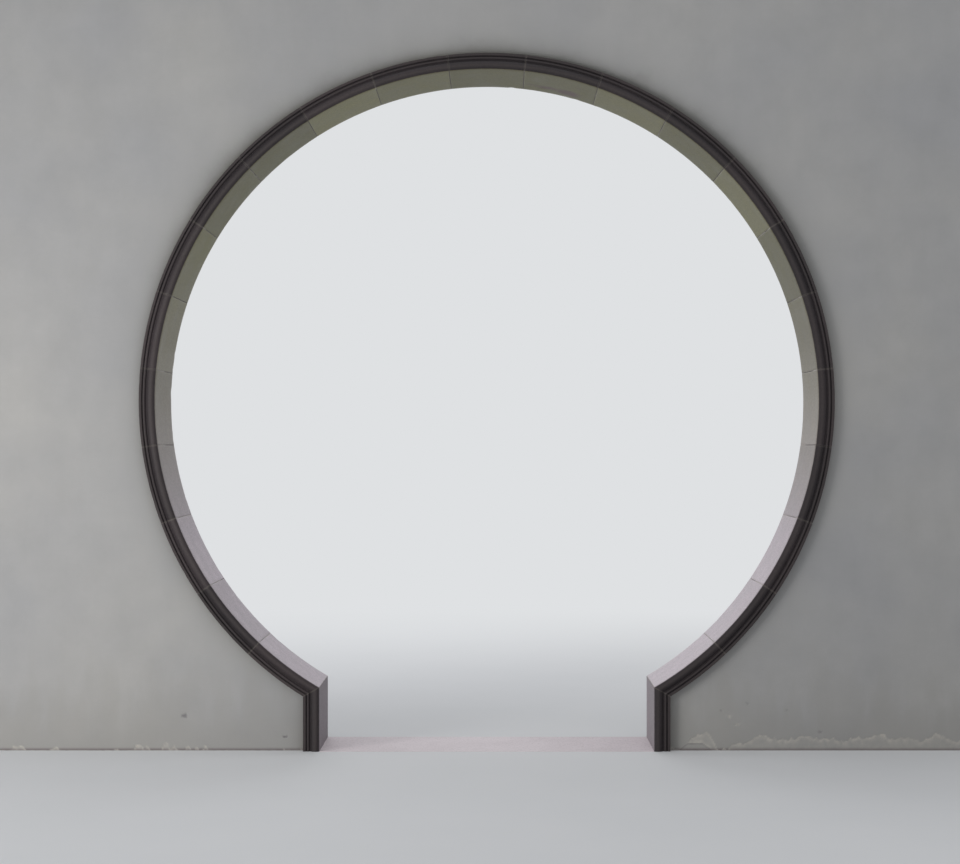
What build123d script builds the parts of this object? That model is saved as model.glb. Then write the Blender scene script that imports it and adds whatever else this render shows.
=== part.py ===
from build123d import *
import math
import os

# Moon gate: a plastered brick wall with a round opening, framed on both faces by moulded stone.
# X runs along the wall, Y through it, Z up. The origin is on the bed under the middle of the opening.
# The bed is where the masonry, the jamb stones and the threshold stand. The walking level is the top
# of the threshold.

# Opening
opening_radius = 1150
centre_above_threshold = 1215
jamb_clear_width = 1160

# Wall
wall_length = 3700
wall_height = 2890
wall_thickness = 280
plaster_thickness = 20
plaster_foot = 20
plaster_arris = 6

# Stone frame round the opening, from the reveal outwards
frame_depth = 340
roll_width = 34.5
bead_width = 13.5
border_width = 9

# How far each member of the moulding lies behind the front of the frame
reveal_arris_depth = 6
quirk_depth = 11
bead_crown_depth = 7
border_face_depth = 5

# The roll comes furthest forward this far from the reveal. Roll and bead are struck in short flats.
roll_crown_at = 14
roll_flat_count = 4
bead_flat_count = 2

# Cutting of the frame into stones
ring_stone_count = 23
mortar_joint = 2
mortar_recess = 1
mortar_roll_flat_count = 2

# Threshold
threshold_thickness = 40
threshold_arris = 3

# Sizes that follow from the driving dimensions
frame_width = roll_width + bead_width + border_width
half_depth = frame_depth / 2
core_thickness = wall_thickness - 2 * plaster_thickness
core_length = wall_length - 2 * plaster_thickness
core_height = wall_height - plaster_thickness
centre_height = threshold_thickness + centre_above_threshold
jamb_face = jamb_clear_width / 2
centre = Vector(0, 0, centre_height)


def kink(margin):
    """Point on the right where the circle, grown by a margin, meets the straight jamb."""
    x = jamb_face + margin
    return Vector(x, 0, centre_height - math.sqrt((opening_radius + margin) ** 2 - x**2))


def keyhole(margin):
    """Face of the opening, grown by a margin: a circle over a straight-sided throat."""
    with BuildSketch() as outline:
        with Locations((0, centre_height)):
            Circle(opening_radius + margin)
        Rectangle(jamb_clear_width + 2 * margin, centre_height, align=(Align.CENTER, Align.MIN))
    return outline.sketch


def flats(curve, count):
    """Points that divide a curve into equal short flats."""
    return [curve @ (i / count) for i in range(count + 1)]


def radial_plane(angle):
    """Plane through the axis of the circle: x outwards at an angle above the horizontal, y through the wall."""
    a = math.radians(angle)
    outwards = (math.cos(a), 0, math.sin(a))
    round_the_ring = (-math.sin(a), 0, math.cos(a))
    return Plane(origin=centre, x_dir=outwards, z_dir=round_the_ring)


# Section of the frame: x runs outwards from the reveal, y through the wall.
# The face carries a wide roll, a bead and a flat border, with a sharp quirk on each side of the bead.
# The plain outer side is bedded against the masonry, and the plaster stops against it.
border_start = roll_width + bead_width
quirk_bottom = -half_depth + quirk_depth
border_face = -half_depth + border_face_depth
reveal_arris = (0, -half_depth + reveal_arris_depth)

with BuildSketch() as stone_section:
    with BuildLine():
        roll = ThreePointArc(
            reveal_arris,
            (roll_crown_at, -half_depth),
            (roll_width, quirk_bottom),
            mode=Mode.PRIVATE,
        )
        bead = ThreePointArc(
            (roll_width, quirk_bottom),
            (roll_width + bead_width / 2, -half_depth + bead_crown_depth),
            (border_start, quirk_bottom),
            mode=Mode.PRIVATE,
        )
        Polyline(
            (0, 0),
            *flats(roll, roll_flat_count),
            *flats(bead, bead_flat_count)[1:],
            (border_start, border_face),
            (frame_width, border_face),
            (frame_width, 0),
            (0, 0),
        )
    make_face()
    mirror(about=Plane.XZ)

# The mortar in a joint is set back from the reveal, the roll and the outer side, and fills the joint
# outside the roll only up to the bottom of the quirks.
mortar_end = frame_width - mortar_recess
mortar_face = quirk_bottom + mortar_recess

with BuildSketch() as mortar_section:
    with BuildLine():
        mortar_roll = ThreePointArc(
            (mortar_recess, reveal_arris[1] + mortar_recess),
            (roll_crown_at, -half_depth + mortar_recess),
            (roll_width - mortar_recess, mortar_face),
            mode=Mode.PRIVATE,
        )
        Polyline(
            (mortar_recess, 0),
            *flats(mortar_roll, mortar_roll_flat_count),
            (mortar_end, mortar_face),
            (mortar_end, 0),
            (mortar_recess, 0),
        )
    make_face()
    mirror(about=Plane.XZ)

# Mitre between the lowest ring stone and the jamb stone on the right: the plane through both kinks,
# facing up towards the ring
mitre_run = (kink(frame_width) - kink(0)).normalized()
right_mitre = Plane(origin=kink(0), x_dir=(0, 1, 0), z_dir=(-mitre_run.Z, 0, mitre_run.X))
left_mitre = Plane(
    origin=(-kink(0).X, 0, kink(0).Z), x_dir=(0, 1, 0), z_dir=(mitre_run.Z, 0, mitre_run.X)
)

os.makedirs("parts", exist_ok=True)

# Masonry core: a pier on each side up to the middle of the circle, and the arched mass over them
with BuildPart() as masonry_left:
    with BuildSketch(Plane.XZ):
        Rectangle(core_length / 2, centre_height, align=(Align.MAX, Align.MIN))
        add(keyhole(frame_width), mode=Mode.SUBTRACT)
    extrude(amount=core_thickness / 2, both=True)
masonry_left.part.label = "masonry_left"
export_step(masonry_left.part, "parts/masonry_left.step")

with BuildPart() as masonry_right:
    mirror(masonry_left.part, about=Plane.YZ)
masonry_right.part.label = "masonry_right"
export_step(masonry_right.part, "parts/masonry_right.step")

with BuildPart() as masonry_over:
    with BuildSketch(Plane.XZ):
        with Locations((0, centre_height)):
            Rectangle(core_length, core_height - centre_height, align=(Align.CENTER, Align.MIN))
        add(keyhole(frame_width), mode=Mode.SUBTRACT)
    extrude(amount=core_thickness / 2, both=True)
masonry_over.part.label = "masonry_over"
export_step(masonry_over.part, "parts/masonry_over.step")

# Plaster coats: one over each face up to the stone frame, with rounded outer edges, then the ends and the top
with BuildPart() as plaster_front:
    with BuildSketch(Plane.XZ.offset(core_thickness / 2)):
        with Locations((0, plaster_foot)):
            Rectangle(wall_length, wall_height - plaster_foot, align=(Align.CENTER, Align.MIN))
        add(keyhole(frame_width), mode=Mode.SUBTRACT)
    extrude(amount=plaster_thickness)
    face_edges = plaster_front.faces().sort_by(Axis.Y)[0].edges()
    side_edges = face_edges.sort_by(Axis.X)
    top_edge = face_edges.sort_by(Axis.Z)[-1]
    fillet([side_edges[0], side_edges[-1], top_edge], radius=plaster_arris)
plaster_front.part.label = "plaster_front"
export_step(plaster_front.part, "parts/plaster_front.step")

with BuildPart() as plaster_back:
    mirror(plaster_front.part, about=Plane.XZ)
plaster_back.part.label = "plaster_back"
export_step(plaster_back.part, "parts/plaster_back.step")

for side, name in ((-1, "plaster_end_left"), (1, "plaster_end_right")):
    with BuildPart() as plaster_end:
        with BuildSketch(Plane.XY.offset(plaster_foot)):
            with Locations((side * (wall_length - plaster_thickness) / 2, 0)):
                Rectangle(plaster_thickness, core_thickness)
        extrude(amount=wall_height - plaster_foot)
    plaster_end.part.label = name
    export_step(plaster_end.part, f"parts/{name}.step")

with BuildPart() as plaster_top:
    with BuildSketch(Plane.XY.offset(core_height)):
        Rectangle(core_length, core_thickness)
    extrude(amount=plaster_thickness)
plaster_top.part.label = "plaster_top"
export_step(plaster_top.part, "parts/plaster_top.step")

# Ring stones, numbered from the foot on the right, over the top, to the foot on the left.
# The sweep of the circle between the two kinks is divided evenly, so the key stone is upright at the top.
# The first and the last stone are turned past the kink and cut back on the mitre.
ring_axis = Axis(centre, (0, -1, 0))
foot_angle = -math.degrees(math.acos(jamb_face / opening_radius))
stone_pitch = (180 - 2 * foot_angle) / ring_stone_count
joint_angle = math.degrees(mortar_joint / opening_radius)

for number in range(1, ring_stone_count + 1):
    is_first = number == 1
    is_last = number == ring_stone_count
    start = foot_angle + (number - 1) * stone_pitch + joint_angle / 2
    sweep = stone_pitch - joint_angle
    if is_first:
        start -= stone_pitch / 2
    if is_first or is_last:
        sweep += stone_pitch / 2
    with BuildPart() as ring_stone:
        with BuildSketch(radial_plane(start)):
            with Locations((opening_radius, 0)):
                add(stone_section.sketch)
        revolve(axis=ring_axis, revolution_arc=sweep)
        if is_first:
            split(bisect_by=right_mitre.offset(mortar_joint / 2), keep=Keep.TOP)
        if is_last:
            split(bisect_by=left_mitre.offset(mortar_joint / 2), keep=Keep.TOP)
    name = f"ring_stone_{number:02d}"
    ring_stone.part.label = name
    export_step(ring_stone.part, f"parts/{name}.step")

# Jamb stones, from the bed up to the mitre
with BuildPart() as jamb_stone_right:
    with BuildSketch():
        with Locations((jamb_face, 0)):
            add(stone_section.sketch)
    extrude(amount=centre_height)
    split(bisect_by=right_mitre.offset(-mortar_joint / 2), keep=Keep.BOTTOM)
jamb_stone_right.part.label = "jamb_stone_right"
export_step(jamb_stone_right.part, "parts/jamb_stone_right.step")

with BuildPart() as jamb_stone_left:
    mirror(jamb_stone_right.part, about=Plane.YZ)
jamb_stone_left.part.label = "jamb_stone_left"
export_step(jamb_stone_left.part, "parts/jamb_stone_left.step")

# Lime mortar in the joints of the frame: one wafer between each two stones
with BuildPart() as right_mitre_mortar:
    with BuildSketch():
        with Locations((jamb_face, 0)):
            add(mortar_section.sketch)
    extrude(amount=centre_height)
    split(bisect_by=right_mitre.offset(mortar_joint / 2), keep=Keep.BOTTOM)
    split(bisect_by=right_mitre.offset(-mortar_joint / 2), keep=Keep.TOP)

with BuildPart() as frame_mortar:
    for number in range(1, ring_stone_count):
        with BuildSketch(radial_plane(foot_angle + number * stone_pitch - joint_angle / 2)):
            with Locations((opening_radius, 0)):
                add(mortar_section.sketch)
        revolve(axis=ring_axis, revolution_arc=joint_angle)
    add(right_mitre_mortar.part)
    mirror(right_mitre_mortar.part, about=Plane.YZ)
frame_mortar.part.label = "frame_mortar"
export_step(frame_mortar.part, "parts/frame_mortar.step")

# Threshold: one slab between the jambs, as deep as the frame, with eased upper edges
with BuildPart() as threshold:
    with BuildSketch():
        Rectangle(jamb_clear_width, frame_depth)
    extrude(amount=threshold_thickness)
    long_edges = threshold.faces().sort_by(Axis.Z)[-1].edges().filter_by(Axis.X)
    fillet(long_edges, radius=threshold_arris)
threshold.part.label = "threshold"
export_step(threshold.part, "parts/threshold.step")
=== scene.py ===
import math
import random

import bmesh
import bpy
from mathutils import Matrix, Vector, noise


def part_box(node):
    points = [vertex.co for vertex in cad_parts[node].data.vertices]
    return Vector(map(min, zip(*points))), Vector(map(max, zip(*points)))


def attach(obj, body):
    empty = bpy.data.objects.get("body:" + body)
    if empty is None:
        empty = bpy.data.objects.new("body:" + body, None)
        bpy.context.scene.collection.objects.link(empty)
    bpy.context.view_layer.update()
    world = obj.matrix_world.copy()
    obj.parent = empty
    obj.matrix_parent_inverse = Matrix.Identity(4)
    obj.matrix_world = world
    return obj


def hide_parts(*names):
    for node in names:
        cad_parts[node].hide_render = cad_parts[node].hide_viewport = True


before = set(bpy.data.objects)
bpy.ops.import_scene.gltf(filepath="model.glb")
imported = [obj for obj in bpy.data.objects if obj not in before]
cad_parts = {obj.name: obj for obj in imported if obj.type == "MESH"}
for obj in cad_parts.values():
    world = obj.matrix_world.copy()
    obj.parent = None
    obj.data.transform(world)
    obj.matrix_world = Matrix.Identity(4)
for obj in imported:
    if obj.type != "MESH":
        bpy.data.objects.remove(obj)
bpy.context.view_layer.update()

random.seed(7)
noise.seed_set(8)

# Sizes taken from the frame, in metres
MM = 0.001
wall_low, wall_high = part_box("plaster_front")
wall_end = wall_high.x
wall_top = wall_high.z
plaster_foot = wall_low.z
plaster_face = -wall_low.y
core_face = -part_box("masonry_left")[0].y
core_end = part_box("masonry_right")[1].x
threshold_low, threshold_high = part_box("threshold")
walking_level = threshold_high.z
half_depth = threshold_high.y
jamb_face = threshold_high.x
frame_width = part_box("jamb_stone_right")[1].x - jamb_face
centre = Vector((0, 0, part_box("masonry_over")[0].z))
outer_radius = round(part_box("ring_stone_12")[1].z - centre.z, 3)
radius = outer_radius - frame_width
stone_names = sorted(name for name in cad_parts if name.startswith("ring_stone_"))
foot_angle = -math.acos(jamb_face / radius)
stone_pitch = (math.pi - 2 * foot_angle) / len(stone_names)

# Moulding on both faces of the frame: distance from the reveal, and depth behind the front of the roll
joint_width = 2 * MM
reveal_arris = (0, 6 * MM)
roll_crown = (14 * MM, 0)
quirk_depth = 11 * MM
bead_from = 34 * MM
bead_to = 46 * MM
bead_crown = ((bead_from + bead_to) / 2, 6.4 * MM)
border_from = 48 * MM
border_depth = 5 * MM

# Eased edges
stone_arris = 0.7 * MM
plaster_arris = 6 * MM
threshold_arris = 3 * MM
easing_angle = math.radians(36)
shading_angle = math.radians(38)

# Fineness of the meshes. Edges at the foot of the plaster and round its knocks get further cuts. Places less
# than a hair apart are one place
stone_step = 7 * MM
reveal_step = 24 * MM
roll_steps = 12
bead_steps = 7
plaster_rows = 88
plaster_step = 12 * MM
foot_step = 4 * MM
foot_band = 100 * MM
foot_cuts = 2
knock_cuts = 3
threshold_step = 10 * MM
hair = 0.01 * MM

# Where a noise shapes a piece, the number that multiplies the place is its waves for each metre

# Sockets of a Mix node for colours: the share of the second colour, the two colours and their blend
FACTOR = 0
COLOUR_A = 6
COLOUR_B = 7
BLEND = 2


def add(tree, kind, inputs=None, **settings):
    """Add a shader node to a node tree, with its settings, and a value or a link for each input given."""
    node = tree.nodes.new("ShaderNode" + kind)
    for name, value in settings.items():
        setattr(node, name, value)
    for socket, value in (inputs or {}).items():
        if isinstance(value, bpy.types.NodeSocket):
            tree.links.new(value, node.inputs[socket])
        else:
            node.inputs[socket].default_value = value
    return node


def colour(code):
    """Linear colour of an sRGB hex value."""
    channels = [int(code[i : i + 2], 16) / 255 for i in (1, 3, 5)]
    return [c / 12.92 if c <= 0.04045 else ((c + 0.055) / 1.055) ** 2.4 for c in channels] + [1]


def scale_of(size):
    """Scale of a pattern whose features are this many millimetres across."""
    return 1 / (size * MM)


# Materials

def new_material(name):
    """A new material, its node tree, its plain shader, and the place on a piece that its patterns follow."""
    material = bpy.data.materials.new(name)
    material.use_nodes = True
    tree = material.node_tree
    tree.nodes.clear()
    shader = add(tree, "BsdfPrincipled")
    add(tree, "OutputMaterial", {"Surface": shader.outputs[0]})
    place = add(tree, "TexCoord").outputs["Object"]
    return material, tree, shader, place


def lime_plaster():
    """Lime plaster, floated by hand and limewashed: matt, clouded, stained along the foot, with soot and
    painted shade along the frame and a line of dirt and painted shade at the floor.
    """
    material, tree, shader, place = new_material("lime_plaster")
    height = add(tree, "SeparateXYZ", {0: place}).outputs["Z"]

    # Wide clouds, as the limewash wore and dried unevenly, and hand-sized mottling over them
    clouds = add(tree, "TexNoise", {"Vector": place, "Scale": scale_of(500), "Detail": 4.0})
    clouding = add(tree, "MapRange", {"Value": clouds.outputs[0], "From Min": 0.32, "From Max": 0.68})
    wash = add(tree, "Mix",
               {FACTOR: clouding.outputs[0], COLOUR_A: colour("#aaaaab"), COLOUR_B: colour("#b3b2b0")},
               data_type="RGBA")
    mottle = add(tree, "TexNoise",
                 {"Vector": place, "Scale": scale_of(110), "Detail": 5.0, "Roughness": 0.62})
    mottling = add(tree, "MapRange",
                   {"Value": mottle.outputs[0], "From Min": 0.3, "From Max": 0.7, "To Min": 0.96,
                    "To Max": 1.03})
    mottled = add(tree, "VectorMath", {0: wash.outputs[BLEND], 1: mottling.outputs[0]},
                  operation="MULTIPLY")

    # Rain and damp have drawn faint upright streaks about 60 mm wide, and a warmer band above the floor
    upright = add(tree, "Mapping", {"Vector": place, "Scale": (1.0, 1.0, 0.22)})
    streaks = add(tree, "TexNoise", {"Vector": upright.outputs[0], "Scale": scale_of(60), "Detail": 4.0})
    streaking = add(tree, "MapRange",
                    {"Value": streaks.outputs[0], "From Min": 0.3, "From Max": 0.7, "To Min": 0.988,
                     "To Max": 1.012})
    streaked = add(tree, "VectorMath", {0: mottled.outputs[0], 1: streaking.outputs[0]},
                   operation="MULTIPLY")
    damp_top = add(tree, "MapRange",
                   {"Value": streaks.outputs[0], "From Min": 0.3, "From Max": 0.7, "To Min": 0.2,
                    "To Max": 0.5})
    damp = add(tree, "MapRange",
               {"Value": height, "From Min": walking_level, "From Max": damp_top.outputs[0], "To Min": 0.4,
                "To Max": 0.0}, interpolation_type="SMOOTHSTEP")
    damped = add(tree, "Mix",
                 {FACTOR: damp.outputs[0], COLOUR_A: streaked.outputs[0], COLOUR_B: colour("#999690")},
                 data_type="RGBA")

    # Painted shade where the frame stands proud of the plaster, with soot and damp in the corner along it: 22
    # to 45 mm wide, more so over the upper half
    from_frame = add(tree, "Attribute", attribute_name="from_frame").outputs["Fac"]
    reach = add(tree, "MapRange",
                {"Value": mottle.outputs[0], "From Min": 0.3, "From Max": 0.7, "To Min": -scale_of(22),
                 "To Max": -scale_of(45)})
    fall = add(tree, "Math", {0: from_frame, 1: reach.outputs[0]}, operation="MULTIPLY")
    halo = add(tree, "Math", {0: fall.outputs[0]}, operation="EXPONENT")
    upper = add(tree, "MapRange",
                {"Value": height, "From Min": 1.3, "From Max": 2.1, "To Min": 0.28, "To Max": 0.75})
    # Painted shade along the frame, mixed with soot
    shade_and_soot = add(tree, "Math", {0: halo.outputs[0], 1: upper.outputs[0]}, operation="MULTIPLY")
    shaded_and_sooted = add(tree, "Mix",
                 {FACTOR: shade_and_soot.outputs[0], COLOUR_A: damped.outputs[BLEND], COLOUR_B: colour("#484739")},
                 data_type="RGBA")

    # Where the skin has flaked off, the sandy undercoat shows
    flake = add(tree, "Attribute", attribute_name="flake").outputs["Fac"]
    sand = add(tree, "TexNoise", {"Vector": place, "Scale": scale_of(4), "Detail": 2.0})
    undercoat = add(tree, "Mix",
                    {FACTOR: sand.outputs[0], COLOUR_A: colour("#b8b4ac"), COLOUR_B: colour("#d2cec6")},
                    data_type="RGBA")
    blotches = add(tree, "TexNoise", {"Vector": place, "Scale": scale_of(18), "Detail": 3.0})
    blotching = add(tree, "MapRange",
                    {"Value": blotches.outputs[0], "From Min": 0.35, "From Max": 0.6, "To Min": 0.45})
    bared = add(tree, "Math", {0: flake, 1: blotching.outputs[0]}, operation="MULTIPLY")
    flaked = add(tree, "Mix",
                 {FACTOR: bared.outputs[0], COLOUR_A: shaded_and_sooted.outputs[BLEND],
                  COLOUR_B: undercoat.outputs[BLEND]}, data_type="RGBA")

    # Dirt sits in the dents
    dent = add(tree, "Attribute", attribute_name="dent").outputs["Fac"]
    dirt = add(tree, "MapRange", {"Value": dent, "From Min": 0.15, "From Max": 0.9, "To Max": 0.5})
    dented = add(tree, "Mix",
                 {FACTOR: dirt.outputs[0], COLOUR_A: flaked.outputs[BLEND], COLOUR_B: colour("#5b585e")},
                 data_type="RGBA")

    # A thin dark line where the plaster meets the floor, partly splashed dirt and partly painted shade in the
    # corner, fainter over fresh flakes
    foot_line = add(tree, "MapRange",
                 {"Value": height, "From Min": walking_level, "From Max": walking_level + 0.01,
                  "To Min": 0.7, "To Max": 0.0})
    old = add(tree, "MapRange", {"Value": flake, "To Min": 1.0, "To Max": 0.2})
    foot_dirt_and_shade = add(tree, "Math", {0: foot_line.outputs[0], 1: old.outputs[0]}, operation="MULTIPLY")
    soiled = add(tree, "Mix",
                 {FACTOR: foot_dirt_and_shade.outputs[0], COLOUR_A: dented.outputs[BLEND],
                  COLOUR_B: colour("#5c4d50")}, data_type="RGBA")
    tree.links.new(soiled.outputs[BLEND], shader.inputs["Base Color"])

    # The float leaves shallow strokes. The sand's grain is drawn 3 mm wide, coarse enough to show
    strokes_place = add(tree, "Mapping", {"Vector": place, "Scale": (1.0, 1.0, 3.0)})
    strokes = add(tree, "TexNoise",
                  {"Vector": strokes_place.outputs[0], "Scale": scale_of(90), "Detail": 3.0})
    grain = add(tree, "TexNoise", {"Vector": place, "Scale": scale_of(3), "Detail": 2.0})
    stroke_height = add(tree, "Math", {0: strokes.outputs[0], 1: 0.9 * MM}, operation="MULTIPLY")
    heights = add(tree, "Math", {0: grain.outputs[0], 1: 0.4 * MM, 2: stroke_height.outputs[0]},
                  operation="MULTIPLY_ADD")
    bump = add(tree, "Bump", {"Height": heights.outputs[0], "Distance": 1.0, "Strength": 1.0})
    tree.links.new(bump.outputs[0], shader.inputs["Normal"])
    shader.inputs["Roughness"].default_value = 0.92
    shader.inputs["Specular IOR Level"].default_value = 0.3
    return material


def frame_stone():
    """Fine-grained dark stone, sawn and rubbed smooth: brown-violet and matt, paler at the arrises from wear
    and a painted highlight, with painted light on the reveal.
    """
    material, tree, shader, place = new_material("rubbed_frame_stone")
    tone, wear_and_highlight, near_joint, inward, skyward, smudge = (
        add(tree, "Attribute", attribute_name=name).outputs["Fac"]
        for name in ("tone", "wear_and_highlight", "near_joint", "inward", "skyward", "smudge"))

    # Each stone has its own tone. The reveal is paler than the mouldings, partly its own face rubbed by hands
    # and rinsed by rain and partly painted light, which makes it palest where it faces up. It is pinkish
    # below, with a green tint higher up that is partly a bloom and partly painted green bounce light
    stone = add(tree, "Mix", {FACTOR: tone, COLOUR_A: colour("#2a2527"), COLOUR_B: colour("#373032")},
                data_type="RGBA")
    height = add(tree, "SeparateXYZ", {0: place}).outputs["Z"]
    # Painted light: the reveal is drawn paler the more it faces up, as if lit from above
    paleness_and_skylight = add(tree, "MapRange",
                  {"Value": skyward, "From Min": -0.2, "From Max": 0.65, "To Min": 0.26, "To Max": 0.9})
    toned = add(tree, "Math", {0: tone, 1: 0.2, 2: paleness_and_skylight.outputs[0]}, operation="MULTIPLY_ADD")
    rinsed = add(tree, "Math", {0: inward, 1: toned.outputs[0]}, operation="MULTIPLY")
    # Painted green bounce light, mixed with a bloom, grows with height
    bloom_and_green_bounce = add(tree, "MapRange", {"Value": height, "From Min": 0.8, "From Max": 1.8})
    pale = add(tree, "Mix",
               {FACTOR: bloom_and_green_bounce.outputs[0], COLOUR_A: colour("#c6bcc3"), COLOUR_B: colour("#aeac7c")},
               data_type="RGBA")
    revealed = add(tree, "Mix",
                   {FACTOR: rinsed.outputs[0], COLOUR_A: stone.outputs[BLEND],
                    COLOUR_B: pale.outputs[BLEND]}, data_type="RGBA")

    # Cloudy patches about 80 mm across and a fine crystal speckle run through the stone. One brown smudge
    # lies on the reveal, high on the right
    clouds = add(tree, "TexNoise",
                 {"Vector": place, "Scale": scale_of(80), "Detail": 6.0, "Roughness": 0.65})
    clouding = add(tree, "MapRange",
                   {"Value": clouds.outputs[0], "From Min": 0.3, "From Max": 0.7, "To Min": 0.88,
                    "To Max": 1.12})
    clouded = add(tree, "VectorMath", {0: revealed.outputs[BLEND], 1: clouding.outputs[0]},
                  operation="MULTIPLY")
    ragged = add(tree, "Math", {0: clouds.outputs[0], 1: smudge}, operation="ADD")
    smudging = add(tree, "MapRange",
                   {"Value": ragged.outputs[0], "From Min": 0.85, "From Max": 1.35, "To Max": 0.85})
    dirtied = add(tree, "Mix",
                  {FACTOR: smudging.outputs[0], COLOUR_A: clouded.outputs[0], COLOUR_B: colour("#5c4c4d")},
                  data_type="RGBA")
    crystals = add(tree, "TexVoronoi", {"Vector": place, "Scale": scale_of(3.5)})
    speckle = add(tree, "SeparateColor", {0: crystals.outputs["Color"]})
    speckling = add(tree, "MapRange", {"Value": speckle.outputs[0], "To Min": 0.84, "To Max": 1.16})
    speckled = add(tree, "VectorMath", {0: dirtied.outputs[BLEND], 1: speckling.outputs[0]},
                   operation="MULTIPLY")

    # The arrises and crowns of the mouldings are a little paler: rubbed wear, with a painted highlight along
    # the crowns
    worn_and_lit = add(tree, "Math", {0: wear_and_highlight, 1: clouding.outputs[0]}, operation="MULTIPLY")
    rubbed_and_lit = add(tree, "MapRange", {"Value": worn_and_lit.outputs[0], "From Max": 1.2, "To Max": 0.12})
    worn_and_highlighted = add(tree, "Mix",
                   {FACTOR: rubbed_and_lit.outputs[0], COLOUR_A: speckled.outputs[0], COLOUR_B: colour("#8a7f7b")},
                   data_type="RGBA")

    # Lime from the joints smears the ends of the stones
    smear = add(tree, "MapRange", {"Value": near_joint, "From Max": 4 * MM, "To Min": 0.1, "To Max": 0.0})
    smeared = add(tree, "Mix",
                  {FACTOR: smear.outputs[0], COLOUR_A: worn_and_highlighted.outputs[BLEND],
                   COLOUR_B: colour("#b4aea7")}, data_type="RGBA")
    tree.links.new(smeared.outputs[BLEND], shader.inputs["Base Color"])

    polish = add(tree, "MapRange",
                 {"Value": clouds.outputs[0], "From Min": 0.3, "From Max": 0.7, "To Min": 0.55,
                  "To Max": 0.7})
    tree.links.new(polish.outputs[0], shader.inputs["Roughness"])
    shader.inputs["Specular IOR Level"].default_value = 0.3
    grain = add(tree, "TexNoise", {"Vector": place, "Scale": scale_of(2.5), "Detail": 2.0})
    grain_height = add(tree, "Math", {0: grain.outputs[0], 1: 0.12 * MM}, operation="MULTIPLY")
    saw_height = add(tree, "Math", {0: clouds.outputs[0], 1: 0.8 * MM, 2: grain_height.outputs[0]},
                     operation="MULTIPLY_ADD")
    bump = add(tree, "Bump", {"Height": saw_height.outputs[0], "Distance": 1.0, "Strength": 1.0})
    tree.links.new(bump.outputs[0], shader.inputs["Normal"])
    return material


def lime_mortar():
    """Lime putty with fine sand in the joints: pale against the stones, gritty and matt."""
    material, tree, shader, place = new_material("lime_mortar")
    sand = add(tree, "TexNoise", {"Vector": place, "Scale": scale_of(2), "Detail": 3.0})
    putty = add(tree, "Mix",
                {FACTOR: sand.outputs[0], COLOUR_A: colour("#4b4542"), COLOUR_B: colour("#6d6660")},
                data_type="RGBA")

    # Some joints stayed clean, and others, mostly higher up, are dark with dirt. In the reveal the clean ones
    # are rinsed pale
    height = add(tree, "SeparateXYZ", {0: place}).outputs["Z"]
    dirt = add(tree, "TexNoise", {"Vector": place, "Scale": scale_of(220), "Detail": 2.0})
    held = add(tree, "Math", {0: height, 1: 0.12, 2: dirt.outputs[0]}, operation="MULTIPLY_ADD")
    soiling = add(tree, "MapRange",
                  {"Value": held.outputs[0], "From Min": 0.57, "From Max": 0.73, "To Max": 0.9})
    soiled = add(tree, "Mix",
                 {FACTOR: soiling.outputs[0], COLOUR_A: putty.outputs[BLEND], COLOUR_B: colour("#3a3433")},
                 data_type="RGBA")
    rinsed = add(tree, "Mix",
                 {FACTOR: soiling.outputs[0], COLOUR_A: colour("#b3ada8"), COLOUR_B: colour("#463f41")},
                 data_type="RGBA")
    inward = add(tree, "Attribute", attribute_name="inward").outputs["Fac"]
    pointed = add(tree, "Mix",
                  {FACTOR: inward, COLOUR_A: soiled.outputs[BLEND], COLOUR_B: rinsed.outputs[BLEND]},
                  data_type="RGBA")
    tree.links.new(pointed.outputs[BLEND], shader.inputs["Base Color"])
    grit = add(tree, "Math", {0: sand.outputs[0], 1: 0.3 * MM}, operation="MULTIPLY")
    bump = add(tree, "Bump", {"Height": grit.outputs[0], "Distance": 1.0, "Strength": 1.0})
    tree.links.new(bump.outputs[0], shader.inputs["Normal"])
    shader.inputs["Roughness"].default_value = 0.9
    return material


def threshold_stone():
    """Pinkish granite, honed and trodden: pale, finely speckled, smoother where feet pass."""
    material, tree, shader, place = new_material("honed_threshold_granite")
    clouds = add(tree, "TexNoise", {"Vector": place, "Scale": scale_of(120), "Detail": 4.0})
    ground = add(tree, "Mix",
                 {FACTOR: clouds.outputs[0], COLOUR_A: colour("#d1c7cb"), COLOUR_B: colour("#e5dce0")},
                 data_type="RGBA")
    crystals = add(tree, "TexVoronoi", {"Vector": place, "Scale": scale_of(3.5)})
    speckle = add(tree, "SeparateColor", {0: crystals.outputs["Color"]})
    dark_grains = add(tree, "MapRange", {"Value": speckle.outputs[0], "From Min": 0.7, "To Max": 0.3})
    grained = add(tree, "Mix",
                  {FACTOR: dark_grains.outputs[0], COLOUR_A: ground.outputs[BLEND],
                   COLOUR_B: colour("#7f7678")}, data_type="RGBA")
    tree.links.new(grained.outputs[BLEND], shader.inputs["Base Color"])

    across = add(tree, "SeparateXYZ", {0: place}).outputs["X"]
    from_middle = add(tree, "Math", {0: across}, operation="ABSOLUTE")
    trodden = add(tree, "MapRange",
                  {"Value": from_middle.outputs[0], "From Min": 0.1, "From Max": 0.5, "To Min": 0.62,
                   "To Max": 0.75})
    tree.links.new(trodden.outputs[0], shader.inputs["Roughness"])
    shader.inputs["Specular IOR Level"].default_value = 0.3
    grain = add(tree, "TexNoise", {"Vector": place, "Scale": scale_of(3), "Detail": 3.0})
    grain_height = add(tree, "Math", {0: grain.outputs[0], 1: 0.15 * MM}, operation="MULTIPLY")
    bump = add(tree, "Bump", {"Height": grain_height.outputs[0], "Distance": 1.0, "Strength": 1.0})
    tree.links.new(bump.outputs[0], shader.inputs["Normal"])
    return material


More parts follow.
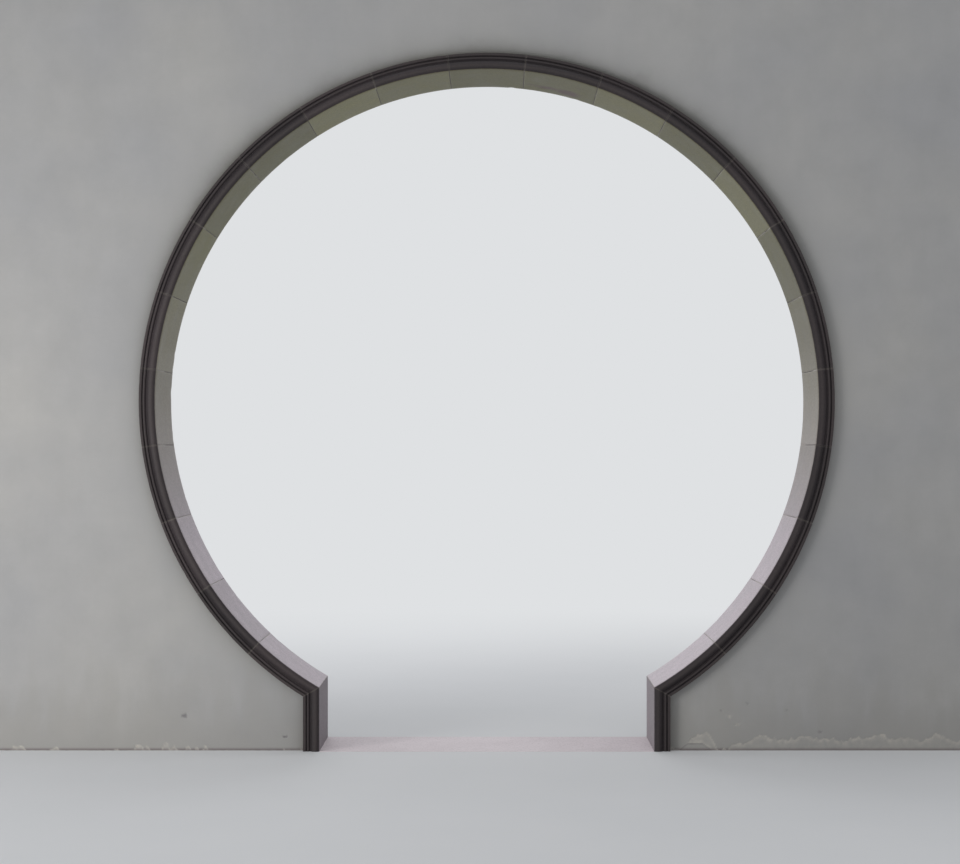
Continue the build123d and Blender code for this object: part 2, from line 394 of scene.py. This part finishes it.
def brick_masonry():
    """Grey fired brick laid in lime: courses with sunk pale joints, seen where no plaster covers the core."""
    material, tree, shader, place = new_material("grey_brick_masonry")
    brick_length = 240 * MM
    brick_height = 53 * MM
    bed_joint = 10 * MM
    upright = add(tree, "Mapping", {"Vector": place, "Rotation": (math.radians(90), 0, 0)})
    courses = add(tree, "TexBrick",
                  {"Vector": upright.outputs[0], "Color1": colour("#67625f"), "Color2": colour("#55504e"),
                   "Mortar": colour("#a19b92"), "Scale": 1.0, "Mortar Size": bed_joint / 2,
                   "Brick Width": brick_length + bed_joint, "Row Height": brick_height + bed_joint})
    fired = add(tree, "TexNoise", {"Vector": place, "Scale": scale_of(30), "Detail": 5.0})
    firing = add(tree, "MapRange",
                 {"Value": fired.outputs[0], "From Min": 0.3, "From Max": 0.7, "To Min": 0.85,
                  "To Max": 1.15})
    bricks = add(tree, "VectorMath", {0: courses.outputs["Color"], 1: firing.outputs[0]},
                 operation="MULTIPLY")
    tree.links.new(bricks.outputs[0], shader.inputs["Base Color"])
    sunk = add(tree, "Math", {0: courses.outputs["Fac"], 1: -3 * MM}, operation="MULTIPLY")
    rough_faces = add(tree, "Math", {0: fired.outputs[0], 1: 1.5 * MM, 2: sunk.outputs[0]},
                      operation="MULTIPLY_ADD")
    bump = add(tree, "Bump", {"Height": rough_faces.outputs[0], "Distance": 1.0, "Strength": 1.0})
    tree.links.new(bump.outputs[0], shader.inputs["Normal"])
    shader.inputs["Roughness"].default_value = 0.9
    return material


# Tools for the pieces

def finish_piece(bm, name, nodes, material, measures=None):
    """Make a bmesh into a piece that stands for CAD nodes. Measures give each vertex its attributes."""
    mesh = bpy.data.meshes.new(name)
    bmesh.ops.recalc_face_normals(bm, faces=bm.faces)
    bm.to_mesh(mesh)
    bm.free()
    for attribute_name, measure in (measures or {}).items():
        attribute = mesh.attributes.new(attribute_name, "FLOAT", "POINT")
        attribute.data.foreach_set("value", [measure(v.co) for v in mesh.vertices])
    mesh.shade_smooth()
    mesh.set_sharp_from_angle(angle=shading_angle)
    mesh.materials.append(material)
    piece = bpy.data.objects.new(name, mesh)
    bpy.context.scene.collection.objects.link(piece)
    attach(piece, "root")
    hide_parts(*nodes)


def sheet_to_slab(bm, rim, shift):
    """Close an open sheet into a slab: its rim is drawn back by a shift, and the back is filled in."""
    drawn = bmesh.ops.extrude_edge_only(bm, edges=rim)["geom"]
    back = [g for g in drawn if isinstance(g, bmesh.types.BMVert)]
    back_set = set(back)
    bmesh.ops.translate(bm, verts=back, vec=shift)
    back_edges = [g for g in drawn if isinstance(g, bmesh.types.BMEdge) and set(g.verts) <= back_set]
    bmesh.ops.contextual_create(bm, geom=back_edges)


def bevel_edges(bm, edges, offset, segments):
    """Round edges off, with an offset on each side of the edge."""
    bmesh.ops.bevel(bm, geom=edges, offset=offset, segments=segments, profile=0.5, affect="EDGES",
                    material=-1, clamp_overlap=True)


# Frame

def section_arc(bm, vertex, middle, sweep, steps):
    """Carry the moulding on from a vertex round an arc in the plane of the section."""
    spun = bmesh.ops.spin(bm, geom=[vertex], cent=(*middle, 0), axis=(0, 0, 1), dvec=(0, 0, 0),
                          angle=sweep, steps=steps, use_merge=False, use_duplicate=False)
    return next(g for g in spun["geom_last"] if isinstance(g, bmesh.types.BMVert))


def section_line(bm, vertex, u, depth):
    """Carry the moulding on from a vertex in a straight line."""
    made = bmesh.ops.extrude_vert_indiv(bm, verts=[vertex])["verts"][0]
    made.co = (u, depth, 0)
    return made


def arc_through(start, crown, end_depth):
    """Middle and sweep of an arc from a start over a crown, and down to a depth on the far side."""
    rise = start[1] - crown[1]
    reach = crown[0] - start[0]
    arc_radius = (reach**2 + rise**2) / (2 * rise)
    fall = end_depth - crown[1]
    first = math.asin(reach / arc_radius)
    second = math.acos(1 - fall / arc_radius)
    return (crown[0], crown[1] + arc_radius), first + second


def moulded_section():
    """Closed outline of the frame's section: outwards from the reveal along X, through the wall along Y."""
    bm = bmesh.new()
    vertex = bm.verts.new((0, half_depth, 0))
    reveal_cuts = round((half_depth - reveal_arris[1]) / reveal_step)
    for i in range(1, reveal_cuts + 1):
        run = half_depth + (reveal_arris[1] - half_depth) * i / reveal_cuts
        vertex = section_line(bm, vertex, 0, run)
    middle, sweep = arc_through(reveal_arris, roll_crown, quirk_depth)
    vertex = section_arc(bm, vertex, middle, sweep, roll_steps)
    vertex = section_line(bm, vertex, bead_from, quirk_depth)
    middle, sweep = arc_through(vertex.co.xy, bead_crown, quirk_depth)
    vertex = section_arc(bm, vertex, middle, sweep, bead_steps)
    vertex = section_line(bm, vertex, border_from, quirk_depth)
    vertex = section_line(bm, vertex, border_from, border_depth)
    vertex = section_line(bm, vertex, frame_width, border_depth)
    vertex = section_line(bm, vertex, frame_width, half_depth)
    bmesh.ops.translate(bm, verts=bm.verts, vec=(0, -half_depth, 0))
    bmesh.ops.mirror(bm, geom=bm.verts[:] + bm.edges[:], matrix=Matrix.Identity(4), merge_dist=hair,
                     axis="Y")
    return bm


def kink(margin):
    """Place on the right where the circle, grown by a margin, meets the straight jamb."""
    x = jamb_face + margin
    return Vector((x, 0, centre.z - math.sqrt((radius + margin) ** 2 - x**2)))


mitre_run = (kink(frame_width) - kink(0)).normalized()
mitre_up = Vector((-mitre_run.z, 0, mitre_run.x))


def close_ends(bm, *ends):
    """Close the ends of a drawn section and turn every face outwards."""
    for end in ends:
        bmesh.ops.contextual_create(bm, geom=end)
    bmesh.ops.recalc_face_normals(bm, faces=bm.faces)


def cut_on_mitre(bm, side, gap, keep_above):
    """Cut a stone on the mitre at one foot of the ring, a gap above or below it, and close the cut."""
    normal = Vector((side * mitre_up.x, 0, mitre_up.z))
    point = Vector((side * kink(0).x, 0, kink(0).z)) + normal * gap
    cut = bmesh.ops.bisect_plane(bm, geom=bm.verts[:] + bm.edges[:] + bm.faces[:], dist=0.001 * MM,
                                 plane_co=point, plane_no=normal,
                                 clear_inner=keep_above, clear_outer=not keep_above)["geom_cut"]
    close_ends(bm, [g for g in cut if isinstance(g, bmesh.types.BMEdge)])


def swept_stone(start, sweep):
    """The section swept round the ring from a start angle, with both ends closed."""
    bm = moulded_section()
    bmesh.ops.translate(bm, verts=bm.verts, vec=(radius, 0, 0))
    bmesh.ops.rotate(bm, verts=bm.verts, cent=(0, 0, 0), matrix=Matrix.Rotation(-start, 3, "Y"))
    bmesh.ops.translate(bm, verts=bm.verts, vec=centre)
    first_end = bm.edges[:]
    steps = max(1, round(sweep * radius / stone_step))
    spun = bmesh.ops.spin(bm, geom=bm.verts[:] + bm.edges[:], cent=centre, axis=(0, -1, 0), dvec=(0, 0, 0),
                          angle=sweep, steps=steps, use_merge=False, use_duplicate=False)
    close_ends(bm, first_end, [g for g in spun["geom_last"] if isinstance(g, bmesh.types.BMEdge)])
    return bm


def straight_stone(side):
    """The section of a jamb drawn upwards past the mitre, with both ends closed."""
    height = centre.z / 2
    bm = moulded_section()
    bmesh.ops.translate(bm, verts=bm.verts, vec=(jamb_face, 0, 0))
    if side < 0:
        bmesh.ops.scale(bm, verts=bm.verts, vec=(-1, 1, 1))
    first_end = bm.edges[:]
    steps = round(height / stone_step)
    spun = bmesh.ops.spin(bm, geom=bm.verts[:] + bm.edges[:], cent=(0, 0, 0), axis=(0, 0, 1),
                          dvec=(0, 0, height / steps), angle=0, steps=steps, use_merge=False,
                          use_duplicate=False)
    close_ends(bm, first_end, [g for g in spun["geom_last"] if isinstance(g, bmesh.types.BMEdge)])
    return bm


def ring_place(co):
    """Distance outwards from the reveal of the ring, and depth behind the roll."""
    return math.hypot(co.x, co.z - centre.z) - radius, half_depth - abs(co.y)


def jamb_place(co):
    """Distance outwards from the reveal of a jamb, and depth behind the roll."""
    return abs(co.x) - jamb_face, half_depth - abs(co.y)


def on_reveal(u, depth):
    """1 on the reveal and on chips in its arrises, 0 on the mouldings."""
    chip_width = 4 * MM
    arris_from = 5 * MM
    return 1.0 if u < chip_width and depth > arris_from else 0.0


def above_mitre(co):
    """Distance of a place above the mitre on its own side."""
    return (Vector((abs(co.x), co.y, co.z)) - kink(0)).dot(mitre_up)


# Parts of the smudge: degrees round the ring, place through the wall, length and width in metres, strength
blots = [(75.4, 0.085, 0.055, 0.056, 1.1), (79.0, 0.068, 0.060, 0.036, 0.9), (82.0, 0.060, 0.050, 0.028, 0.6),
         (73.6, -0.050, 0.035, 0.040, 0.5)]


def smudge_at(co):
    """How dark the brown smudge is: a blot high on the reveal, with a fainter tail towards the top."""
    angle = math.atan2(co.z - centre.z, co.x)
    return max(strength * math.exp(-(((angle - math.radians(degrees)) * radius / length) ** 2)
                                   - ((co.y - y) / width) ** 2)
               for degrees, y, length, width, strength in blots)


def wear_and_highlight_at(u, depth):
    """How strongly a place on the moulding is drawn paler, by wear and a painted highlight: the arrises, the
    crown of the roll and the bead.
    """
    spots = [(reveal_arris, 2.5), (roll_crown, 6.0), (bead_crown, 2.5), ((border_from, border_depth), 1.5),
             ((frame_width, border_depth), 1.5)]
    return max(math.exp(-(math.dist((u, depth), spot) / (width * MM)) ** 2) for spot, width in spots)


# Wear of the stones. Chips lie where a noise of about 40 mm rises over a limit
chip_reach = 3 * MM
chip_depth = 3.5 * MM
chip_limit = 0.38
unevenness = 0.12 * MM


def weather(bm, place_of, seed):
    """Ease the sharp edges of a stone, chip its arrises and make its faces a little uneven."""
    bevel_edges(bm, [e for e in bm.edges if e.calc_face_angle() > easing_angle], stone_arris, 2)
    bm.normal_update()
    offset = Vector((seed * 3.7, seed * 1.3, seed * 2.1))
    for v in bm.verts:
        u, depth = place_of(v.co)
        arris = max(math.exp(-(math.dist((u, depth), spot) / chip_reach) ** 2)
                    for spot in (reveal_arris, (frame_width, border_depth)))
        chip = max(0.0, noise.noise(v.co * 26 + offset) - chip_limit) * chip_depth * arris
        uneven = unevenness * (1 + noise.noise(v.co * 60 + offset))
        v.co -= v.normal * (chip + uneven)


def build_frame(stone_material, mortar_material):
    """All stones of the ring and both jambs, and the mortar in their joints."""
    joint_angle = joint_width / radius
    starts = [foot_angle + i * stone_pitch + joint_angle / 2 for i in range(len(stone_names))]
    sweep = stone_pitch - joint_angle
    for i, name in enumerate(stone_names):
        is_first = i == 0
        is_last = i == len(stone_names) - 1
        start = starts[i] - (stone_pitch / 2 if is_first else 0)
        bm = swept_stone(start, sweep + (stone_pitch / 2 if is_first or is_last else 0))
        if is_first:
            cut_on_mitre(bm, 1, joint_width / 2, True)
        if is_last:
            cut_on_mitre(bm, -1, joint_width / 2, True)
        weather(bm, ring_place, i)
        tone = random.random()
        low_end = starts[i]
        high_end = starts[i] + sweep

        def from_joint(co):
            angle = math.atan2(co.z - centre.z, co.x)
            angle += 2 * math.pi if angle < -math.pi / 2 else 0
            lower = above_mitre(co) if is_first else (angle - low_end) * radius
            upper = above_mitre(co) if is_last else (high_end - angle) * radius
            return max(0.0, min(lower, upper))

        finish_piece(bm, f"{name}_dressed", [name], stone_material, {
            "tone": lambda co: tone,
            "wear_and_highlight": lambda co: wear_and_highlight_at(*ring_place(co)),
            "near_joint": from_joint,
            "inward": lambda co: on_reveal(*ring_place(co)),
            "skyward": lambda co: (centre.z - co.z) / radius,
            "smudge": smudge_at,
        })

    for side, name in ((1, "jamb_stone_right"), (-1, "jamb_stone_left")):
        bm = straight_stone(side)
        cut_on_mitre(bm, side, -joint_width / 2, False)
        weather(bm, jamb_place, 40 + side)
        tone = random.random()
        finish_piece(bm, f"{name}_dressed", [name], stone_material, {
            "tone": lambda co: tone,
            "wear_and_highlight": lambda co: wear_and_highlight_at(*jamb_place(co)),
            "near_joint": lambda co: max(0.0, -above_mitre(co)),
            "inward": lambda co: on_reveal(*jamb_place(co)),
            "skyward": lambda co: 0.0,
        })

    # The mortar fills the joints between two stones, and its faces are drawn back by about a millimetre
    joints = bmesh.new()
    wafers = [(swept_stone(start - joint_angle, joint_angle), Vector((-math.sin(start), 0, math.cos(start))))
              for start in starts[1:]]
    for side in (1, -1):
        wafer = straight_stone(side)
        cut_on_mitre(wafer, side, joint_width / 2, False)
        cut_on_mitre(wafer, side, -joint_width / 2, True)
        wafers.append((wafer, Vector((side * mitre_up.x, 0, mitre_up.z))))
    for wafer, through in wafers:
        wafer.normal_update()
        for v in wafer.verts:
            outwards = (v.normal - through * v.normal.dot(through)).normalized()
            v.co -= outwards * MM * (0.8 + 0.4 * noise.noise(v.co * 90))
        scratch = bpy.data.meshes.new("wafer")
        wafer.to_mesh(scratch)
        wafer.free()
        joints.from_mesh(scratch)
        bpy.data.meshes.remove(scratch)
    finish_piece(joints, "frame_mortar_pointed", ["frame_mortar"], mortar_material, {
        "inward": lambda co: on_reveal(*(ring_place(co) if above_mitre(co) > 0 else jamb_place(co))),
    })


# Plaster

def from_frame(co):
    """Distance on the wall's face from the outer edge of the frame."""
    ring = math.hypot(co.x, co.z - centre.z) - outer_radius
    jamb = max(abs(co.x) - jamb_face - frame_width, co.z - centre.z)
    return max(0.0, min(ring, jamb))


# Small flakes along the left foot of the front: where on the wall, how wide and how high, in metres
left_flakes = [(-1.211, 0.032, 0.021), (-1.181, 0.014, 0.015), (-1.117, 0.024, 0.028), (-1.040, 0.018, 0.017),
               (-1.010, 0.013, 0.014), (-0.979, 0.014, 0.017)]

# The deeper flake beside the right jamb and the ledge of skin left under it, in the same way
deep_flake = (0.742, 0.095, 0.048)
flake_ledge = (0.726, 0.09, 0.022)

# The flaked strip along the right foot: where it starts, how far it takes to rise, and how high it is
strip_from = 0.84
strip_rise = 0.06
strip_height = 0.036

# Broken edges of the flakes: how wide they are, how far in from them the undercoat stays fresh and pale, and
# the least ledge that hasn't crumbled away
flake_edge = 3 * MM
fresh_reach = 12 * MM
least_ledge = 3 * MM


def mound(x, middle, width):
    """From 0 to 1, a flat-topped mound over a stretch of the wall."""
    return math.exp(-(((x - middle) / (width / 2)) ** 4))


def flake_top(x, side):
    """Height over the walking level below which the skin has flaked off. On the front it is gone along the
    whole right foot, with a deeper flake beside the jamb. Elsewhere small patches are gone."""
    spikes = 0.5 - min(1.0, 3 * abs(noise.noise(Vector((x * 34, side, 0)))))
    ragged = 22 * MM * noise.noise(Vector((x * 15, side * 5.0, 0))) + 8 * MM * spikes
    if side < 0 and x > 0:
        middle, width, height = deep_flake
        along_foot = strip_height * min(1.0, max(0.0, (x - strip_from) / strip_rise))
        return 6 * MM + height * mound(x, middle, width) + along_foot + ragged
    low_patches = 2 * ragged - 9 * MM
    if side > 0:
        return low_patches
    return max(low_patches, *(height * mound(x, middle, width) for middle, width, height in left_flakes))


def ledge_top(x, side):
    """Height over the walking level of the ledge of skin left under the flake beside the right jamb."""
    middle, width, height = flake_ledge
    uneven = 1 + 0.5 * noise.noise(Vector((x * 45, 9.0, 0)))
    return height * mound(x, middle, width) * uneven if side < 0 and x > 0 else 0.0


def inside_flake(co, side):
    """How far a place lies within the ragged edge of the flaked foot."""
    ragged = 4 * MM * noise.noise(Vector((co.x, side * 5.0, co.z)) * 90)
    height = co.z - walking_level
    ledge = ledge_top(co.x, side)
    below_top = flake_top(co.x, side) + ragged - height
    return min(below_top, height + ragged - ledge) if ledge > least_ledge else below_top


def flake_depth(co, side):
    """From 0 to 1, how much of the skin of the plaster is gone."""
    return min(1.0, max(0.0, inside_flake(co, side) / flake_edge))


# Knocks in the front face: where on the wall, how wide in metres, and how strong. Dents are dark with dirt,
# and nicks show the undercoat
dents = [(-1.052, 0.159, 0.011, 1.0), (-0.702, 0.087, 0.007, 1.0), (0.816, 0.177, 0.007, 0.55),
         (0.906, 0.204, 0.008, 0.5), (1.042, 0.177, 0.007, 0.5), (1.161, 0.103, 0.009, 0.55)]
nicks = [(0.843, 0.159, 0.008, 1.0), (0.871, 0.130, 0.007, 1.0)]

# The reach round a knock in which the mesh is finer, and the depths of the strongest knock and of a flake
knock_reach = 22 * MM
knock_depth = 2.2 * MM
skin_depth = 1.3 * MM


def knocked(co, side, knocks):
    """From 0 to 1, how deep a place lies in the nearest of some knocks, which are wider than high."""
    if side > 0:
        return 0.0
    place = Vector((co.x, 0, co.z))
    shaken = place + 7 * MM * noise.noise_vector(place * 110)
    return max(strength * math.exp(-((math.hypot(shaken.x - x, (shaken.z - z) * 1.3) / width) ** 2))
               for x, z, width, strength in knocks)


def held_dirt(co, side):
    """From 0 to 1, how much dirt a dent or the ledge of the deep flake holds."""
    ledge = ledge_top(co.x, side)
    on_ledge = math.exp(-(((co.z - walking_level - ledge) / flake_edge) ** 2)) if ledge > least_ledge else 0.0
    return max(knocked(co, side, dents), 0.8 * on_ledge)


def flake_paleness(co, side):
    """From 0 to 1, how pale a flake is: freshest and palest at its edge."""
    fresh = 0.25 + 0.75 * math.exp(-((inside_flake(co, side) / fresh_reach) ** 2))
    return max(flake_depth(co, side) * fresh, 0.8 * knocked(co, side, nicks))


def relief(co, side):
    """How far the plaster's face lies behind its plane: slow waves of the float, flakes and knocks."""
    place = Vector((co.x, side * 5.0, co.z))
    waves = 1.1 * MM * (1 + noise.noise(place * 1.7)) + 0.35 * MM * (1 + noise.noise(place * 7))
    edge = min(wall_end - abs(co.x), wall_top - co.z) / (60 * MM)
    depth = waves * min(1.0, max(0.0, edge))
    depth += flake_depth(co, side) * (skin_depth + 0.5 * MM * noise.noise(place * 80))
    return depth + knock_depth * knocked(co, side, dents + nicks)


def plaster_coat(side):
    """One coat of plaster over a face of the wall, up to the frame: a sheet drawn outwards from the frame's
    edge in rows, mirrored, and closed into a slab with a rounded rim."""
    bm = bmesh.new()
    column = bm.verts.layers.int.new("column")
    y = side * plaster_face
    corner_angle = math.atan2(wall_top - centre.z, wall_end)
    outer_kink = -math.acos((jamb_face + frame_width) / outer_radius)

    # The inner edge: from the top of the ring down the right side to the foot
    vertex = bm.verts.new((0, y, centre.z + outer_radius))
    for sweep in (math.pi / 2 - corner_angle, corner_angle - outer_kink):
        steps = round(sweep * outer_radius / plaster_step)
        spun = bmesh.ops.spin(bm, geom=[vertex], cent=centre, axis=(0, 1, 0), dvec=(0, 0, 0), angle=sweep,
                              steps=steps, use_merge=False, use_duplicate=False)
        vertex = next(g for g in spun["geom_last"] if isinstance(g, bmesh.types.BMVert))
    foot_top = walking_level + foot_band
    while vertex.co.z > plaster_foot + 0.1 * MM:
        step = foot_step if vertex.co.z <= foot_top else 2 * foot_step
        lower = max(plaster_foot, vertex.co.z - step)
        vertex = bmesh.ops.extrude_vert_indiv(bm, verts=[vertex])["verts"][0]
        vertex.co.z = lower
    bm.verts.ensure_lookup_table()

    # Each vertex of it has a partner on the outline of the wall
    inner = [v.co.copy() for v in bm.verts]
    outer = []
    for i, v in enumerate(bm.verts):
        v[column] = i
        ray = v.co - centre
        if ray.z <= 0:
            outer.append(Vector((wall_end, y, v.co.z)))
        else:
            ray.y = 0
            stretch = min(wall_end / max(ray.x, MM), (wall_top - centre.z) / ray.z)
            outer.append(Vector((ray.x * stretch, y, centre.z + ray.z * stretch)))

    edges = bm.edges[:]
    for row in range(1, plaster_rows + 1):
        made = bmesh.ops.extrude_edge_only(bm, edges=edges)["geom"]
        verts = [g for g in made if isinstance(g, bmesh.types.BMVert)]
        vert_set = set(verts)
        for v in verts:
            v.co = inner[v[column]].lerp(outer[v[column]], row / plaster_rows)
        edges = [g for g in made if isinstance(g, bmesh.types.BMEdge) and set(g.verts) <= vert_set]

    def is_level(edge):
        return abs(edge.verts[0].co.z - edge.verts[1].co.z) < hair

    def near_knock(face):
        middle = face.calc_center_median()
        return any(math.hypot(middle.x - abs(x), middle.z - z) < knock_reach
                   for x, z, width, strength in dents + nicks)

    # Finer across where the foot flakes, and both ways round the knocks. There, level edges are cut before
    # upright ones, because a face that is cut both ways at once comes out differently in each run
    foot_edges = [e for e in bm.edges if e.verts[0].co.z < foot_top and is_level(e)]
    bmesh.ops.subdivide_edges(bm, edges=foot_edges, cuts=foot_cuts)
    if side < 0:
        for cut_level in (True, False):
            near = dict.fromkeys(e for f in bm.faces if near_knock(f) for e in f.edges)
            cut_now = [e for e in near if is_level(e) == cut_level]
            bmesh.ops.subdivide_edges(bm, edges=cut_now, cuts=knock_cuts)
    bmesh.ops.mirror(bm, geom=bm.verts[:] + bm.edges[:] + bm.faces[:], matrix=Matrix.Identity(4),
                     merge_dist=hair, axis="X")

    rim = [e for e in bm.edges if e.is_boundary]
    sheet_to_slab(bm, rim, (0, -side * (plaster_face - core_face), 0))
    bmesh.ops.recalc_face_normals(bm, faces=bm.faces)

    def on_outline(v):
        return abs(abs(v.co.x) - wall_end) < hair or abs(v.co.z - wall_top) < hair

    outline = [e for e in rim if all(on_outline(v) for v in e.verts)]
    bevel_edges(bm, outline, plaster_arris, 3)
    for v in bm.verts:
        if abs(v.co.y - y) < hair:
            v.co.y = side * (plaster_face - relief(v.co, side))
    return bm


def plaster_panel(corner, across, up):
    """A flat coat between two edges from a corner: a grid that is closed into a slab behind."""
    bm = bmesh.new()
    inwards = -across.cross(up).normalized() * (wall_end - core_end)
    columns = round(across.length / plaster_step)
    rows = round(up.length / plaster_step)
    bmesh.ops.create_grid(bm, x_segments=columns, y_segments=rows, size=0.5)
    turn = Matrix((across, up, across.cross(up).normalized())).transposed().to_4x4()
    bmesh.ops.transform(bm, matrix=Matrix.Translation(corner + (across + up) / 2) @ turn, verts=bm.verts)
    rim = [e for e in bm.edges if e.is_boundary]
    rim_verts = {v for e in rim for v in e.verts}
    face = [v for v in bm.verts if v not in rim_verts]
    sheet_to_slab(bm, rim, inwards)
    for v in face:
        v.co += inwards.normalized() * 0.6 * MM * (1 + noise.noise(v.co * 6))
    return bm


def build_plaster(material):
    """The coats on both faces, on the ends and on the top."""
    for side, name in ((-1, "plaster_front"), (1, "plaster_back")):
        finish_piece(plaster_coat(side), f"{name}_coat", [name], material, {
            "from_frame": from_frame,
            "flake": lambda co: flake_paleness(co, side),
            "dent": lambda co: held_dirt(co, side),
        })
    far_away = {"from_frame": lambda co: 1.0}
    for side, name in ((-1, "plaster_end_left"), (1, "plaster_end_right")):
        corner = Vector((side * wall_end, -side * core_face, plaster_foot))
        across = Vector((0, side * 2 * core_face, 0))
        up = Vector((0, 0, wall_top - plaster_foot))
        finish_piece(plaster_panel(corner, across, up), f"{name}_coat", [name], material,
                     far_away)
    corner = Vector((-core_end, -core_face, wall_top))
    along = Vector((2 * core_end, 0, 0))
    through = Vector((0, 2 * core_face, 0))
    finish_piece(plaster_panel(corner, along, through), "plaster_top_coat", ["plaster_top"],
                 material, far_away)


def build_threshold(material):
    """One slab between the jambs, hollowed a little where feet pass, with eased edges."""
    tread_width = 380 * MM
    tread_depth = 0.4 * MM
    bm = bmesh.new()
    size = threshold_high - threshold_low
    bmesh.ops.create_grid(bm, x_segments=round(size.x / threshold_step),
                          y_segments=round(size.y / threshold_step), size=0.5)
    bmesh.ops.scale(bm, verts=bm.verts, vec=(size.x, size.y, 1))
    bmesh.ops.translate(bm, verts=bm.verts, vec=(0, 0, walking_level))
    rim = [e for e in bm.edges if e.is_boundary]
    sheet_to_slab(bm, rim, (0, 0, -size.z))
    long_edges = [e for e in rim if abs(e.verts[0].co.y - e.verts[1].co.y) < hair]
    bevel_edges(bm, long_edges, threshold_arris, 3)
    for v in bm.verts:
        if v.co.z > walking_level - hair:
            tread = math.exp(-((v.co.x / tread_width) ** 2))
            v.co.z -= tread_depth * tread + 0.1 * MM * (1 + noise.noise(v.co * 25))
    finish_piece(bm, "threshold_slab", ["threshold"], material)


# Stage, light and camera

backdrop_code = "#dfe1e3"
floor_gap = 1.2 * MM


def pale_floor():
    """Plain floor paint, matt and pale, that fades into the background further out."""
    material, tree, shader, place = new_material("stage_floor")
    away = add(tree, "VectorMath", {0: place}, operation="LENGTH")
    fade = add(tree, "MapRange",
               {"Value": away.outputs["Value"], "From Min": 1.2, "From Max": 5.8, "To Min": 0.1},
               interpolation_type="SMOOTHSTEP")
    tooth = add(tree, "TexNoise", {"Vector": place, "Scale": scale_of(400), "Detail": 3.0})
    paint = add(tree, "Mix",
                {FACTOR: tooth.outputs[0], COLOUR_A: colour("#d9dbdd"), COLOUR_B: colour("#dedfe1")},
                data_type="RGBA")
    tree.links.new(paint.outputs[BLEND], shader.inputs["Base Color"])
    shader.inputs["Roughness"].default_value = 0.85
    shader.inputs["Specular IOR Level"].default_value = 0.2
    glow = add(tree, "Emission", {"Color": colour(backdrop_code), "Strength": 1.0})
    blend = add(tree, "MixShader", {0: fade.outputs[0], 1: shader.outputs[0], 2: glow.outputs[0]})
    output = next(n for n in tree.nodes if n.type == "OUTPUT_MATERIAL")
    tree.links.new(blend.outputs[0], output.inputs["Surface"])
    material.cycles.emission_sampling = "NONE"
    return material


def build_stage():
    """The floor at the walking level, a small gap under the top of the threshold."""
    bm = bmesh.new()
    bmesh.ops.create_circle(bm, cap_ends=True, radius=60, segments=64)
    bmesh.ops.translate(bm, verts=bm.verts, vec=(0, 0, walking_level - floor_gap))
    mesh = bpy.data.meshes.new("stage_floor")
    bm.to_mesh(mesh)
    bm.free()
    mesh.materials.append(pale_floor())
    floor = bpy.data.objects.new("stage_floor", mesh)
    bpy.context.scene.collection.objects.link(floor)


def build_world():
    """Soft light from all round, with a pale background where the camera and reflections look."""
    world = bpy.data.worlds.new("studio")
    bpy.context.scene.world = world
    world.use_nodes = True
    tree = world.node_tree
    tree.nodes.clear()
    path = add(tree, "LightPath")
    seen = add(tree, "Math", {0: path.outputs["Is Camera Ray"], 1: path.outputs["Is Glossy Ray"]},
               operation="MAXIMUM")
    shown = add(tree, "Math", {0: seen.outputs[0], 1: path.outputs["Is Transmission Ray"]},
                operation="MAXIMUM")
    soft = add(tree, "Background", {"Color": colour("#f4f5f7"), "Strength": 0.32})
    backdrop = add(tree, "Background", {"Color": colour(backdrop_code), "Strength": 1.0})
    mixed = add(tree, "MixShader", {0: shown.outputs[0], 1: soft.outputs[0], 2: backdrop.outputs[0]})
    add(tree, "OutputWorld", {"Surface": mixed.outputs[0]})


def soft_lamp(name, place, aim, width, power, tint, spread=180):
    """A large soft area lamp at a place, turned towards an aim and unseen by the camera. Width is in metres,
    power in watts and spread in degrees."""
    lamp = bpy.data.lights.new(name, "AREA")
    lamp.shape = "DISK"
    lamp.size = width
    lamp.energy = power
    lamp.color = colour(tint)[:3]
    lamp.spread = math.radians(spread)
    holder = bpy.data.objects.new(name, lamp)
    holder.location = place
    holder.rotation_euler = (Vector(aim) - Vector(place)).to_track_quat("-Z", "Y").to_euler()
    holder.visible_camera = False
    bpy.context.scene.collection.objects.link(holder)


def build_lamps():
    """A key lamp from the front left, a weak fill, and lamps behind and above for reveal and threshold."""
    soft_lamp("key", (-4.6, -3.7, 1.3), (-1.5, 0, 0.7), 2.8, 29, "#fffdfa", 75)
    soft_lamp("fill", (1.5, -6.5, 2.0), (0.6, 0, 0.9), 3.5, 14, "#fbfcff")
    soft_lamp("far_side", (-0.9, 5.2, 3.0), (0, 0, 0.7), 3.4, 64, "#fbfcff")
    soft_lamp("overhead", (0, 0, 7.5), (0, 0, 0), 5.0, 155, "#fbfcff")


def build_camera():
    """The photograph's view: level and square to the wall, a little right of the opening's middle."""
    image_width = 960
    focal_px = 1900
    shift_left_px = 17.4
    shift_up_px = 15
    eye_from_middle = 37 * MM
    eye_height = walking_level + 1.055
    eye_distance = 6.582
    camera = bpy.data.cameras.new("camera")
    camera.sensor_width = 36
    camera.lens = 36 * focal_px / image_width
    camera.shift_x = -shift_left_px / image_width
    camera.shift_y = shift_up_px / image_width
    camera.clip_end = 200
    holder = bpy.data.objects.new("camera", camera)
    holder.location = (eye_from_middle, -half_depth - eye_distance, eye_height)
    holder.rotation_euler = (math.radians(90), 0, 0)
    bpy.context.scene.collection.objects.link(holder)
    bpy.context.scene.camera = holder


build_frame(frame_stone(), lime_mortar())
build_plaster(lime_plaster())
build_threshold(threshold_stone())
masonry = brick_masonry()
for name in ("masonry_left", "masonry_right", "masonry_over"):
    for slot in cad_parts[name].material_slots:
        slot.material = masonry
build_stage()
build_world()
build_lamps()
build_camera()
bpy.context.scene.view_settings.view_transform = "Standard"
